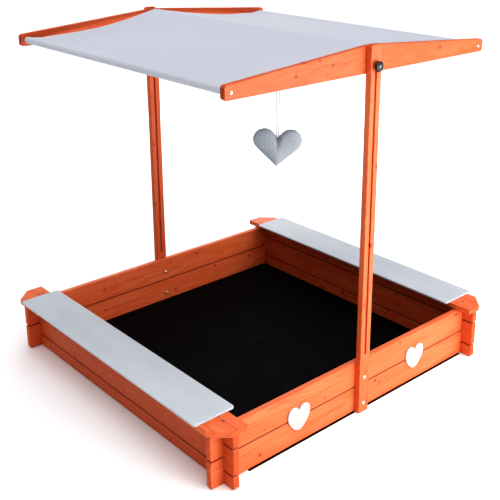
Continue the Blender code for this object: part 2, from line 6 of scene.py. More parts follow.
import bmesh
import bpy
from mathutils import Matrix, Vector


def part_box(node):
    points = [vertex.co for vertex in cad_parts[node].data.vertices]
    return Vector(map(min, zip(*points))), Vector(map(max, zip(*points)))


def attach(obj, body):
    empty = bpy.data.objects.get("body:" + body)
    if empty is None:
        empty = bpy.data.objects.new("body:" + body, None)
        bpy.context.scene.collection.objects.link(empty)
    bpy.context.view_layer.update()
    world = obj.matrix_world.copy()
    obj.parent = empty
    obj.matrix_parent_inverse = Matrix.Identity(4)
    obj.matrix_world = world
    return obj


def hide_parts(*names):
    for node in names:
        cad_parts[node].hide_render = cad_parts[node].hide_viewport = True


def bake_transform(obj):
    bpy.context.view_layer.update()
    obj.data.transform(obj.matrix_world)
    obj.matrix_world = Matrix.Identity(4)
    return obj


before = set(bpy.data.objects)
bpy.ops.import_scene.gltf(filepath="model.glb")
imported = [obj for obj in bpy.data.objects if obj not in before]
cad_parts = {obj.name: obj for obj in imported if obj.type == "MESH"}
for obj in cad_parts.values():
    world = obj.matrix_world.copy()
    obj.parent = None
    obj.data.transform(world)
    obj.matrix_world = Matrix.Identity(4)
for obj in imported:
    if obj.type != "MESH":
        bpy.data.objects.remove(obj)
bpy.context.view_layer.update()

UP = Vector((0, 0, 1))

# Camera, solved from the photograph together with the object's proportions. The turn and the
# drop are in degrees, the lens is in millimetres, and the shift is in frame widths.
CAMERA_PLACE = (-1.8222, -2.1393, 1.5765)
CAMERA_TURN = 41.856
CAMERA_DROP = 18.112
CAMERA_LENS = 62.474
CAMERA_SENSOR = 36
CAMERA_SHIFT = (-0.037, -0.15)

# Canopy cloth. Its hem pockets hold the side rails, and its side hems lie along the roof boards.
CLOTH_THICKNESS = 0.001
SINGLE_THICKNESS = 0.9 * CLOTH_THICKNESS
HEM_DEPTH = 0.032
HEM_SLACK = 0.0005
HEM_TAIL = 0.004
HEM_WEB_STEPS = 4
SEAM_GAP = 0.6 * CLOTH_THICKNESS
RIDGE_CLEARANCE = 0.0018
SLOPE_STEPS = 26
CANOPY_HALF_LENGTH = 0.5165
CANOPY_STEPS = 30
CANOPY_SAG = 0.003
CANOPY_EDGE_SAG = 0.007
CANOPY_EDGE_DRAW = 0.030
CANOPY_DRAW_TAPER = 1.7
EDGE_PULL_POWER = 5
RIPPLE_HEIGHT = 0.0007
CREASE_HEIGHT = 0.0002
SIDE_HEM_WIDTH = 0.013
SIDE_HEM_LIFT = 0.55 * CLOTH_THICKNESS
SIDE_HEM_BLEND = 0.0012
EDGE_STEP = 0.0008
HEM_STEPS = (0.0016, 0.0004, -0.0004, -0.003)
HEM_INNER_GAP = 0.012

# The cloth dips a little just above each hem pocket's seam. Its reach and its start are shares of
# the slope.
DIP_DEPTH = 0.0022
DIP_REACH = 0.06
DIP_START = 0.02

# Stitches. A stitch covers this share of its pitch.
STITCH_PITCH = 0.0042
STITCH_SHARE = 0.72
STITCH_RADIUS = 0.00032
STITCH_MARGIN = 0.006
SIDE_STITCH_INSET = 0.002

# Stuffed heart. Its turn is about the vertical, and its lean is in its own plane.
HEART_TURN = math.radians(-42)
HEART_LEAN = math.radians(3)
HEART_WIDTH = 0.160
HEART_HEIGHT = 0.127
HEART_THICKNESS = 0.048
HEART_CLEFT = 0.098
HEART_CENTRE = Vector((0, HEART_HEIGHT * 0.56))
HEART_LOBE_RADIUS = 0.0375
HEART_LOBE_END = 128
HEART_SIDE_STEPS = 16
HEART_TIP_START = 0.35
HEART_DIP_STEPS = 5
HEART_RINGS = 18
HEART_PUFF_POWERS = (2.6, 0.56)
HEART_LEAST_DEPTH = 0.0008

# The heart's gathers, in radians for each metre of seam, and the crease below its cleft
GATHER_RATE = 520
SLOW_GATHER_RATE = 311
GATHER_SIZE = 0.005
SLOW_GATHER_SIZE = 0.004
PUCKER_DEPTH = 0.0006
CREASE_DEPTH = 0.0075
CREASE_WIDTH = 0.0075
CREASE_START = 0.055
CREASE_FADE = 0.03
DIMPLE_DEPTH = 0.0005

# The heart's whipped stitches, over its seam
WHIP_PITCH = 0.0065
WHIP_REACH = 0.965
WHIP_SPREAD = 0.0035
WHIP_RADIUS = 0.00035
WHIP_END_LIFT = 0.0004
WHIP_CROWN_LIFT = 0.0006

# Ribbon. Its ends lie a little below the top of the heart's cleft, side by side.
RIBBON_WIDTH = 0.006
RIBBON_THICKNESS = 0.0006
RIBBON_SPREAD = 0.004
RIBBON_CLEARANCE = 0.0003
RIBBON_END_DEPTH = 0.004
RIBBON_STEPS = 16

# Ground sheet. Its flaps stick out under the front and back walls.
SHEET_THICKNESS = 0.0008
SHEET_LIFT = 0.00002
SHEET_HALF_Y = 0.530
SHEET_FLAP_X = (-0.465, 0.530)
SHEET_NOTCH_HALF_WIDTH = 0.0228
SHEET_NOTCH_GAP = 0.001
SHEET_COLUMNS = 64
SHEET_LINES = 180
SHEET_FLAT_RIM = 0.06
SHEET_FADE = 0.08
SHEET_FOLD_HEIGHT = 0.0022
SHEET_SHARP_ANGLE = math.radians(50)


def middle(node):
    low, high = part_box(node)
    return (low + high) / 2


def limited(value):
    """The value, kept from 0 to 1."""
    return min(1.0, max(0.0, value))


# Node helpers


class Nodes:
    """Adds shader nodes to one tree and links them."""

    def __init__(self, tree):
        self.tree = tree

    def add(self, kind, **settings):
        made = self.tree.nodes.new(kind)
        for name, value in settings.items():
            setattr(made, name, value)
        return made

    def put(self, socket, value):
        if isinstance(value, bpy.types.NodeSocket):
            self.tree.links.new(value, socket)
        else:
            socket.default_value = value

    def math(self, operation, *values):
        made = self.add("ShaderNodeMath", operation=operation)
        for socket, value in zip(made.inputs, values):
            self.put(socket, value)
        return made.outputs[0]

    def vector(self, operation, *values):
        made = self.add("ShaderNodeVectorMath", operation=operation)
        for socket, value in zip(made.inputs, values):
            self.put(socket, value)
        return made.outputs["Value" if operation == "LENGTH" else "Vector"]

    def scaled(self, vector, scale):
        return self.vector("MULTIPLY", vector, scale)

    def noise(self, vector, scale, detail=2.0, roughness=0.5):
        made = self.add("ShaderNodeTexNoise")
        self.put(made.inputs["Vector"], vector)
        made.inputs["Scale"].default_value = scale
        made.inputs["Detail"].default_value = detail
        made.inputs["Roughness"].default_value = roughness
        return made.outputs["Fac"]

    def remap(self, value, low, high, to_low=0.0, to_high=1.0):
        """From to_low, where the value is low or less, smoothly to to_high, where it is high or more."""
        made = self.add("ShaderNodeMapRange", interpolation_type="SMOOTHSTEP")
        self.put(made.inputs["Value"], value)
        self.put(made.inputs["From Min"], low)
        self.put(made.inputs["From Max"], high)
        self.put(made.inputs["To Min"], to_low)
        self.put(made.inputs["To Max"], to_high)
        return made.outputs["Result"]

    def mix(self, share, first, second):
        made = self.add("ShaderNodeMix", data_type="RGBA")
        self.put(made.inputs["Factor"], share)
        self.put(made.inputs["A"], as_colour(first))
        self.put(made.inputs["B"], as_colour(second))
        return made.outputs["Result"]

    def place(self):
        return self.add("ShaderNodeTexCoord").outputs["Object"]

    def split(self, vector):
        made = self.add("ShaderNodeSeparateXYZ")
        self.put(made.inputs[0], vector)
        return made.outputs

    def join(self, x, y, z):
        made = self.add("ShaderNodeCombineXYZ")
        for socket, value in zip(made.inputs, (x, y, z)):
            self.put(socket, value)
        return made.outputs[0]

    def total(self, *parts):
        """The sum of (value, weight) parts."""
        weighted = [self.math("MULTIPLY", value, weight) for value, weight in parts]
        result = weighted[0]
        for part in weighted[1:]:
            result = self.math("ADD", result, part)
        return result


def as_colour(value):
    """A colour of three numbers gets its alpha, and a socket stays as it is."""
    if isinstance(value, bpy.types.NodeSocket):
        return value
    return (*value, 1.0)


def shaded(colour, share):
    """A colour with each part multiplied by the share."""
    return tuple(part * share for part in colour)


def new_material(name, viewport_colour, **constants):
    """A material with a Principled shader, and the helper for its nodes.

    Each constant sets the shader's socket of that name, with _ for a space.
    """
    made = bpy.data.materials.new(name)
    made.diffuse_color = (*viewport_colour, 1)
    made.use_nodes = True
    shader = made.node_tree.nodes["Principled BSDF"]
    for socket, value in constants.items():
        shader.inputs[socket.replace("_", " ")].default_value = value
    return made, shader, Nodes(made.node_tree)


def surface(nodes, shader, base, rough, relief, depth, strength=0.6):
    """Gives the shader its colour and roughness, and a bump of that depth in metres."""
    nodes.put(shader.inputs["Base Color"], base)
    nodes.put(shader.inputs["Roughness"], rough)
    made = nodes.add("ShaderNodeBump")
    made.inputs["Strength"].default_value = strength
    made.inputs["Distance"].default_value = depth
    nodes.put(made.inputs["Height"], relief)
    nodes.put(shader.inputs["Normal"], made.outputs["Normal"])


# Wood

STAIN = (0.68, 0.148, 0.048)
STAIN_LIGHT = (0.74, 0.195, 0.076)
STAIN_DARK = (0.50, 0.075, 0.014)
# Stain that pools at edges and in end grain. The same colour is the painted shade in the wall seams.
STAIN_POOL_AND_SEAM_SHADE = (0.20, 0.028, 0.008)
KNOT_DARK = (0.17, 0.030, 0.010)
BENCH_PAINT = (0.480, 0.512, 0.550)
BENCH_WORN = (0.60, 0.62, 0.65)
HEART_PAINT = (0.475, 0.475, 0.480)
HEART_WORN = (0.56, 0.53, 0.49)
PAINT_SHADE = 0.93

# How far each board's stain is pulled towards the dark tone. This is painted shade: it darkens the boards
# that lie in shadow or face away from the key light.
PAINTED_SHADE_BY_BOARD = {"back_post": 0.60, "front_post": 0.15, "front_roof_board": 0.45, "back_roof_board": 0.75}
PAINTED_SHADE_BY_BOARD |= dict.fromkeys(("left_board_bottom", "left_board_middle", "left_board_top"), 0.60)
PAINTED_SHADE_BY_BOARD |= dict.fromkeys(("right_board_bottom", "right_board_middle", "right_board_top"), 0.30)

# Knots seen on the front faces, as (x, z, radius) in metres in the model's frame
SEEN_KNOTS = {
    "front_roof_board": [
        (-0.259, 1.154, 0.0060),
        (-0.154, 1.132, 0.0045),
        (-0.291, 1.119, 0.0045),
        (-0.204, 1.150, 0.0040),
        (0.310, 1.128, 0.0050),
    ],
    "front_board_lower": [(0.076, 0.073, 0.0055), (0.097, 0.060, 0.0045), (-0.420, 0.030, 0.0050)],
}

# Other knots are scattered: one for about each spacing of length, at most this share of the width
# to either side of the middle
KNOT_SPACING = 0.24
KNOT_SIDE_SHARE = 0.42
KNOT_RADII = (0.0028, 0.0065)

# How fast a knot fades along, across and through its board. It runs right through the thickness.
KNOT_FADING = (0.8, 1.0, 0.12)
KNOT_SWELL = 0.0050
NO_KNOT = 9.0

# Growth rings round a pith that runs beside the board: how far it lies from the board's middle
# plane and to one side, and how much it slopes
RING_WIDTH = 0.0052
RING_WAVER = 0.030
PITH_DEPTHS = (0.045, 0.085)
PITH_ASIDE = 0.03
PITH_SLOPE = 0.05
RANDOM_SHIFT = 9

# Each pattern's scale along, across and through a board
WAVER_SCALE = (1.0, 5.0, 5.0)
FIBRE_SCALE = (6.0, 420.0, 420.0)
STREAK_SCALE = (2.2, 90.0, 90.0)
BLOTCH_SCALE = (1.2, 6.0, 6.0)
CONTRAST_SCALE = (1.0, 8.0, 8.0)
PAINT_CLOUD_SCALE = (1.0, 3.0, 3.0)
BRUSH_SCALE = (3.0, 260.0, 260.0)

# Two wall boards meet at a seam. Nearer than this to the wall's top or foot there is none.
SEAM_MARGIN = 0.002


def board_axes(node):
    """The model's axes in the order of a board's length, width and thickness."""
    low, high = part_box(node)
    size = high - low
    return sorted(range(3), key=lambda axis: -size[axis])


def board_place(nodes, node):
    """The place in a board along its length, width and thickness, from its middle."""
    moved = nodes.vector("SUBTRACT", nodes.place(), tuple(middle(node)))
    parts = nodes.split(moved)
    return nodes.join(*(parts[axis] for axis in board_axes(node)))


def scattered_knots(node, seed):
    """Seeded (along, across, radius) knots, spread over a board's length."""
    low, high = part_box(node)
    length, width, _ = sorted(high - low, reverse=True)
    chance = random.Random(seed)
    count = max(1, round(length / KNOT_SPACING))
    knots = []
    for item in range(count):
        along = (item + chance.uniform(0.15, 0.85)) / count - 0.5
        across = chance.uniform(-KNOT_SIDE_SHARE, KNOT_SIDE_SHARE)
        knots.append((along * length, across * width, chance.uniform(*KNOT_RADII)))
    return knots


def knots_of(node, seed):
    """The knots of a board, from its middle: those that the photograph shows, or scattered ones."""
    if node not in SEEN_KNOTS:
        return scattered_knots(node, seed)
    centre = middle(node)
    return [(x - centre.x, z - centre.z, radius) for x, z, radius in SEEN_KNOTS[node]]


def knot_distance(nodes, place, knots):
    """The distance to the nearest knot's middle, in knot radii."""
    nearest = NO_KNOT
    for along, across, radius in knots:
        offset = nodes.vector("SUBTRACT", place, (along, across, 0))
        scale = tuple(part / radius for part in KNOT_FADING)
        distance = nodes.vector("LENGTH", nodes.scaled(offset, scale))
        nearest = nodes.math("MINIMUM", nearest, distance)
    return nearest


def edge_closeness(nodes, place, node):
    """How near a point is to an edge of its board, in metres.

    That is the middle one of its depths below the three pairs of faces.
    """
    low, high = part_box(node)
    half = sorted((high - low) / 2, reverse=True)
    depths = []
    for part, reach in zip(nodes.split(place), half):
        depths.append(nodes.math("SUBTRACT", reach, nodes.math("ABSOLUTE", part)))
    first, second, third = depths
    lower = nodes.math("MINIMUM", first, second)
    upper = nodes.math("MAXIMUM", first, second)
    return nodes.math("MAXIMUM", lower, nodes.math("MINIMUM", upper, third))


def wood_height(nodes, place, knots, seed):
    """(ring, fibre, knot) of a sawn softwood board.

    The ring is 1 on the dark part of each growth ring, the fibre is a fine noise along the board,
    and the knot is the distance to the nearest knot.
    """
    chance = random.Random(seed)
    shift = (chance.uniform(0, RANDOM_SHIFT), chance.uniform(0, RANDOM_SHIFT), 0)
    shifted = nodes.vector("ADD", place, shift)
    knot = knot_distance(nodes, place, knots)
    swell = nodes.remap(knot, 0.6, 3.4, KNOT_SWELL, 0.0)
    waver = nodes.noise(nodes.scaled(shifted, WAVER_SCALE), 2.6, 3.0)
    waver = nodes.math("MULTIPLY", nodes.math("SUBTRACT", waver, 0.5), RING_WAVER)
    parts = nodes.split(place)
    tilt = nodes.math("MULTIPLY", parts[0], chance.uniform(-PITH_SLOPE, PITH_SLOPE))
    across = nodes.math("SUBTRACT", parts[1], chance.uniform(-PITH_ASIDE, PITH_ASIDE))
    depth = nodes.math("ADD", nodes.math("ADD", parts[2], chance.uniform(*PITH_DEPTHS)), tilt)
    radius = nodes.vector("LENGTH", nodes.join(0.0, across, depth))
    radius = nodes.math("ADD", nodes.math("ADD", radius, waver), swell)
    turn = nodes.math("FRACT", nodes.math("MULTIPLY", radius, 1 / RING_WIDTH))
    rise = nodes.remap(turn, 0.25, 0.88)
    fall = nodes.remap(turn, 0.92, 1.0)
    ring = nodes.math("SUBTRACT", rise, fall)
    fibre = nodes.noise(nodes.scaled(shifted, FIBRE_SCALE), 1.0, 4.0, 0.6)
    return ring, fibre, knot


def seams_of(node):
    """The heights at which a wall board meets the board below or above it."""
    if "_board_" not in node:
        return []
    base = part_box("front_board_lower")[0].z + SEAM_MARGIN
    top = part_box("front_board_upper")[1].z - SEAM_MARGIN
    low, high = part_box(node)
    return [height for height in (low.z, high.z) if base < height < top]


def stain_on_grain(nodes, place, ring, fibre, painted_shade):
    """The stain on plain wood: blotches, rings, streaks and fibres take it up unevenly. The whole board is
    also darkened by its share of painted shade.
    """
    blotch = nodes.noise(nodes.scaled(place, BLOTCH_SCALE), 3.0, 3.0)
    base = nodes.mix(nodes.remap(blotch, 0.32, 0.68), STAIN, STAIN_LIGHT)
    # Painted shade: the whole board is pulled towards the dark stain by its share.
    base = nodes.mix(painted_shade, base, STAIN_DARK)
    contrast = nodes.noise(nodes.scaled(place, CONTRAST_SCALE), 2.2, 2.0)
    strength = nodes.remap(contrast, 0.35, 0.65, 0.12, 0.42)
    base = nodes.mix(nodes.math("MULTIPLY", ring, strength), base, STAIN_DARK)
    streak = nodes.noise(nodes.scaled(place, STREAK_SCALE), 1.0, 3.0, 0.55)
    base = nodes.mix(nodes.remap(streak, 0.52, 0.72, 0.0, 0.38), base, STAIN_DARK)
    return nodes.mix(nodes.remap(fibre, 0.5, 0.8, 0.0, 0.30), base, STAIN_DARK)


def stain_on_edges(nodes, place, node, base):
    """Stain pools along a board's edges, where it isn't rubbed off. At the seams of a wall, painted shade
    darkens the gap between two boards.
    """
    edge = edge_closeness(nodes, place, node)
    broken = nodes.remap(nodes.noise(place, 70.0, 3.0), 0.42, 0.66)
    pooled = nodes.remap(edge, 0.0006, 0.0030, 0.55, 0.0)
    base = nodes.mix(nodes.math("MULTIPLY", pooled, nodes.math("SUBTRACT", 1.0, broken)), base, STAIN_POOL_AND_SEAM_SHADE)
    rub = nodes.math("MULTIPLY", nodes.remap(edge, 0.0002, 0.0016, 0.45, 0.0), broken)
    base = nodes.mix(rub, base, STAIN_LIGHT)
    # Painted shade in the gap where two wall boards meet.
    for height in seams_of(node):
        gap = nodes.math("ABSOLUTE", nodes.math("SUBTRACT", nodes.split(nodes.place())[2], height))
        base = nodes.mix(nodes.remap(gap, 0.0012, 0.0034, 0.90, 0.0), base, STAIN_POOL_AND_SEAM_SHADE)
    return base


def stained_wood(node, seed):
    """Softwood under an orange stain: rings, fibres, knots, blotches, dark end grain, rubbed edges, with
    painted shade on some whole boards and in the wall seams.
    """
    made, shader, nodes = new_material(f"stained_{node}", STAIN, Specular_IOR_Level=0.35)
    place = board_place(nodes, node)
    ring, fibre, knot = wood_height(nodes, place, knots_of(node, seed), seed)
    base = stain_on_grain(nodes, place, ring, fibre, PAINTED_SHADE_BY_BOARD.get(node, 0.0))
    base = nodes.mix(nodes.remap(knot, 0.9, 2.2, 0.35, 0.0), base, STAIN_DARK)
    core = nodes.remap(knot, 0.60, 1.05, 0.85, 0.0)
    base = nodes.mix(core, base, KNOT_DARK)
    base = stain_on_edges(nodes, place, node, base)
    longest = board_axes(node)[0]
    normal = nodes.split(nodes.add("ShaderNodeTexCoord").outputs["Normal"])[longest]
    end_grain = nodes.remap(nodes.math("ABSOLUTE", normal), 0.6, 0.95, 0.0, 0.60)
    base = nodes.mix(end_grain, base, STAIN_POOL_AND_SEAM_SHADE if "roof" in node else STAIN_DARK)
    rough = nodes.remap(fibre, 0.3, 0.75, 0.42, 0.62)
    rough = nodes.math("ADD", rough, nodes.math("MULTIPLY", end_grain, 0.25))
    relief = nodes.total((fibre, 0.5), (ring, 0.35), (core, -0.6))
    surface(nodes, shader, base, rough, relief, 0.0005, strength=0.7)
    return made


def painted_wood(node, seed, colour, worn, gloss):
    """Opaque paint over softwood: grain telegraphs through, brush lines, thin paint on the edges."""
    made, shader, nodes = new_material(f"painted_{node}", colour, Specular_IOR_Level=0.4)
    place = board_place(nodes, node)
    ring, fibre, _ = wood_height(nodes, place, scattered_knots(node, seed), seed)
    cloud = nodes.noise(nodes.scaled(place, PAINT_CLOUD_SCALE), 5.0, 3.0)
    darker = shaded(colour, PAINT_SHADE)
    base = nodes.mix(nodes.remap(cloud, 0.3, 0.7), colour, darker)
    base = nodes.mix(nodes.math("MULTIPLY", ring, 0.16), base, darker)
    brush = nodes.noise(nodes.scaled(place, BRUSH_SCALE), 1.0, 3.0)
    base = nodes.mix(nodes.remap(brush, 0.55, 0.8, 0.0, 0.35), base, darker)
    edge = edge_closeness(nodes, place, node)
    broken = nodes.remap(nodes.noise(place, 60.0, 3.0), 0.40, 0.62)
    rub = nodes.math("MULTIPLY", nodes.remap(edge, 0.0003, 0.0022, 0.75, 0.0), broken)
    base = nodes.mix(rub, base, worn)
    rough = nodes.remap(brush, 0.3, 0.8, gloss, gloss + 0.14)
    surface(nodes, shader, base, rough, nodes.total((brush, 0.6), (fibre, 0.3), (ring, 0.3)), 0.0003)
    return made


# Metal and plastic

ZINC_BLUE = (0.62, 0.64, 0.68)
ZINC_YELLOW = (0.74, 0.70, 0.60)
ZINC_PIT = (0.30, 0.29, 0.28)
ZINC_PLAIN = (0.68, 0.68, 0.66)
DULL_ZINC = 0.35


def zinc_plate(name, seed, bright):
    """Zinc with a slight blue and yellow bloom and fine pits, bright or weathered dull."""
    made, shader, nodes = new_material(name, ZINC_PLAIN, Metallic=1.0)
    place = nodes.vector("ADD", nodes.place(), (seed * 1.7, 0, seed))
    bloom = nodes.noise(place, 160.0, 3.0)
    tint = nodes.remap(bloom, 0.35, 0.65)
    base = nodes.mix(tint, shaded(ZINC_BLUE, bright), shaded(ZINC_YELLOW, bright))
    pits = nodes.noise(place, 900.0, 2.0)
    base = nodes.mix(nodes.remap(pits, 0.62, 0.75, 0.0, 0.5), base, ZINC_PIT)
    rough = nodes.remap(bloom, 0.3, 0.7, 0.24, 0.42)
    surface(nodes, shader, base, rough, pits, 0.00005, strength=0.5)
    return made


def moulded_plastic():
    """Black knob plastic: fine spark-eroded texture, rubbed smoother in patches."""
    made, shader, nodes = new_material("moulded_plastic", (0.015, 0.015, 0.015), Specular_IOR_Level=0.5)
    place = nodes.place()
    grain = nodes.noise(place, 2400.0, 2.0)
    touch = nodes.noise(place, 90.0, 3.0)
    base = nodes.mix(nodes.remap(touch, 0.4, 0.7), (0.010, 0.010, 0.011), (0.020, 0.020, 0.021))
    rough = nodes.remap(touch, 0.35, 0.65, 0.26, 0.42)
    surface(nodes, shader, base, rough, grain, 0.00006, strength=0.5)
    return made


# Fabrics

CANOPY_GREY = (0.560, 0.575, 0.635)
CANOPY_SHADE = (0.480, 0.490, 0.550)
CANOPY_THREAD_PITCH = 0.0009
RIBBON_WHITE = (0.94, 0.94, 0.95)
RIBBON_SHADE = (0.80, 0.80, 0.82)
RIBBON_THREAD_PITCH = 0.0005
JERSEY_PLAIN = (0.38, 0.44, 0.50)
JERSEY_DARK_YARN = (0.33, 0.37, 0.41)
JERSEY_LIGHT_YARN = (0.49, 0.53, 0.57)
JERSEY_CLOUD = (0.30, 0.35, 0.41)
JERSEY_RIB_PITCH = 0.0016
JERSEY_ROW_PITCH = 0.0012
MEMBRANE_PLAIN = (0.010, 0.009, 0.010)
MEMBRANE_BLACK = (0.0030, 0.0022, 0.0022)
MEMBRANE_DUST = (0.0075, 0.0052, 0.0052)
MEMBRANE_FIBRE = (0.010, 0.008, 0.008)
GREY_THREAD = (0.66, 0.67, 0.74)
BLUE_THREAD = (0.30, 0.35, 0.41)
THREAD_SHADE = 0.72


def wave_along(nodes, distance, pitch):
    """A sine that is 0 between threads and 1 or -1 on each thread's middle."""
    return nodes.math("SINE", nodes.math("MULTIPLY", distance, math.pi / pitch))


def weave(nodes, across, along, pitch):
    """The height of a plain weave, from two thread coordinates in metres."""
    first = wave_along(nodes, across, pitch)
    second = wave_along(nodes, along, pitch)
    pick = nodes.remap(nodes.math("MULTIPLY", first, second), -0.4, 0.4)
    over = nodes.math("MULTIPLY", nodes.math("ABSOLUTE", first), pick)
    under = nodes.math("MULTIPLY", nodes.math("ABSOLUTE", second), nodes.math("SUBTRACT", 1.0, pick))
    return nodes.math("ADD", over, under)


def woven_cloth(name, colour, darker, pitch, axes=(0, 1), rough=0.82, slub=0.5):
    """Woven cloth with uneven threads, soft fading and painted shade between the threads. Its threads run
    along the two axes.
    """
    made, shader, nodes = new_material(
        name, colour, Specular_IOR_Level=0.25, Sheen_Weight=0.12, Sheen_Roughness=0.5
    )
    place = nodes.place()
    parts = nodes.split(place)
    height = weave(nodes, parts[axes[0]], parts[axes[1]], pitch)
    thick_a = nodes.noise(nodes.scaled(place, (900.0, 14.0, 900.0)), 1.0, 2.0)
    thick_b = nodes.noise(nodes.scaled(place, (14.0, 900.0, 14.0)), 1.0, 2.0)
    threads = nodes.math("MULTIPLY", nodes.math("ADD", thick_a, thick_b), 0.5)
    fading = nodes.noise(place, 3.2, 4.0)
    base = nodes.mix(nodes.remap(fading, 0.3, 0.7, 0.0, 0.30), colour, darker)
    base = nodes.mix(nodes.remap(threads, 0.45, 0.65, 0.0, slub), base, darker)
    # Painted shade: the cloth is darkened where the weave lies low, between the threads.
    between = nodes.math("MULTIPLY", nodes.math("SUBTRACT", 1.0, height), 0.35)
    base = nodes.mix(between, base, darker)
    uneven = nodes.remap(height, 0.0, 1.0, rough + 0.1, rough)
    surface(nodes, shader, base, uneven, nodes.total((height, 0.7), (threads, 0.5)), 0.0003)
    return made


def heather_jersey():
    """The stuffed heart's grey-blue jersey: two yarn colours mixed, with fine knitted ribs."""
    made, shader, nodes = new_material(
        "heather_jersey", JERSEY_PLAIN, Specular_IOR_Level=0.2, Sheen_Weight=0.25, Sheen_Roughness=0.45
    )
    place = nodes.place()
    parts = nodes.split(place)
    ribs = nodes.math("ABSOLUTE", wave_along(nodes, parts[0], JERSEY_RIB_PITCH))
    rows = nodes.math("ABSOLUTE", wave_along(nodes, parts[2], JERSEY_ROW_PITCH))
    fleck = nodes.noise(nodes.scaled(place, (500.0, 500.0, 190.0)), 1.0, 3.0, 0.7)
    cloud = nodes.noise(place, 26.0, 3.0)
    base = nodes.mix(nodes.remap(fleck, 0.38, 0.66), JERSEY_DARK_YARN, JERSEY_LIGHT_YARN)
    base = nodes.mix(nodes.remap(cloud, 0.3, 0.7, 0.0, 0.35), base, JERSEY_CLOUD)
    rough = nodes.remap(fleck, 0.3, 0.7, 0.80, 0.95)
    stitches = nodes.math("MULTIPLY", ribs, rows)
    surface(nodes, shader, base, rough, nodes.total((stitches, 1.0), (fleck, 0.6)), 0.0003)
    return made


def black_membrane():
    """Black spun ground membrane: pressed dimples, fibres and a little dust."""
    made, shader, nodes = new_material("ground_membrane", MEMBRANE_PLAIN, Specular_IOR_Level=0.12)
    place = nodes.place()
    dimples = nodes.add("ShaderNodeTexVoronoi", feature="F1")
    nodes.put(dimples.inputs["Vector"], place)
    dimples.inputs["Scale"].default_value = 420.0
    dimples.inputs["Randomness"].default_value = 0.25
    pressed = nodes.remap(dimples.outputs["Distance"], 0.15, 0.5)
    fibres = nodes.noise(nodes.scaled(place, (300.0, 1500.0, 300.0)), 1.0, 3.0)
    dust = nodes.noise(place, 7.0, 5.0, 0.65)
    base = nodes.mix(nodes.remap(dust, 0.45, 0.75), MEMBRANE_BLACK, MEMBRANE_DUST)
    base = nodes.mix(nodes.remap(fibres, 0.55, 0.75, 0.0, 0.5), base, MEMBRANE_FIBRE)
    rough = nodes.remap(dust, 0.3, 0.7, 0.72, 0.92)
    surface(nodes, shader, base, rough, nodes.total((pressed, 0.6), (fibres, 0.5)), 0.0004)
    return made


def sewing_thread(name, colour):
    """Twisted polyester thread."""
    made, shader, nodes = new_material(name, colour, Specular_IOR_Level=0.4)
    twist = nodes.noise(nodes.scaled(nodes.place(), (2600.0, 2600.0, 900.0)), 1.0, 2.0)
    base = nodes.mix(nodes.remap(twist, 0.35, 0.65), colour, shaded(colour, THREAD_SHADE))
    rough = nodes.remap(twist, 0.3, 0.7, 0.45, 0.65)
    surface(nodes, shader, base, rough, twist, 0.0001, strength=0.5)
    return made


# Mesh helpers


def new_piece(name, form, made_of, body=None, smooth=True):
    """An object made from the bmesh form. It rides on the body, if one is named."""
    mesh = bpy.data.meshes.new(name)
    form.to_mesh(mesh)
    form.free()
    mesh.materials.append(made_of)
    if smooth:
        mesh.shade_smooth()
    obj = bpy.data.objects.new(name, mesh)
    bpy.context.scene.collection.objects.link(obj)
    if body:
        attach(obj, body)
    return obj


def strip(form, low, high):
    """Faces between two closed rows of points."""
    for item in range(len(low)):
        after = (item + 1) % len(low)
        form.faces.new((low[item], low[after], high[after], high[item]))


def spread(start, end, count):
    """Points from start to just before end."""
    return [start.lerp(end, item / count) for item in range(count)]


def arc(centre, radius, start, end, step=10):
    """Points along a circle from one angle to another, in degrees."""
    count = max(2, round(abs(end - start) / step))
    turns = (math.radians(start + (end - start) * item / count) for item in range(count + 1))
    return [centre + radius * Vector((math.cos(turn), math.sin(turn))) for turn in turns]


def mirrored(points):
    """Flat points mirrored in the y axis, in the opposite order."""
    return [Vector((-point.x, point.y)) for point in reversed(points)]


def lengths(points):
    """The distance along a path at each of its points."""
    reached = [0.0]
    for before, after in zip(points, points[1:]):
        reached.append(reached[-1] + (after - before).length)
    return reached


def sides_of(path, thickness):
    """The path moved half a thickness to its left, and to its right."""
    left, right = [], []
    for item, here in enumerate(path):
        before = path[max(item - 1, 0)]
        after = path[min(item + 1, len(path) - 1)]
        across = (after - before).normalized().orthogonal() * thickness / 2
        left.append(here + across)
        right.append(here - across)
    return left, right


def add_stitch(form, start, end, outward, radius):
    """One stitch: a short bead of thread that dips into the cloth at both ends."""
    along = end - start
    side = along.cross(outward).normalized() * radius
    crown = outward.normalized() * radius
    section = ((1, 0), (0.5, 0.8), (-0.5, 0.8), (-1, 0), (0, -0.6))
    rings = []
    for share, swell in ((0.0, 0.25), (0.3, 1.0), (0.7, 1.0), (1.0, 0.25)):
        centre = start + along * share - crown * (1 - swell)
        rings.append([form.verts.new(centre + side * a * swell + crown * b * swell) for a, b in section])
    for low, high in zip(rings, rings[1:]):
        strip(form, low, high)
    form.faces.new(rings[0][::-1])
    form.faces.new(rings[-1])


# Canopy


def slope_drop(share, weight):
    """How far the cloth hangs below a straight slope, at a share of the way up from the seam."""
    dip = DIP_DEPTH * math.exp(-share / DIP_REACH) * limited(share / DIP_START)
    return CANOPY_SAG * weight + dip


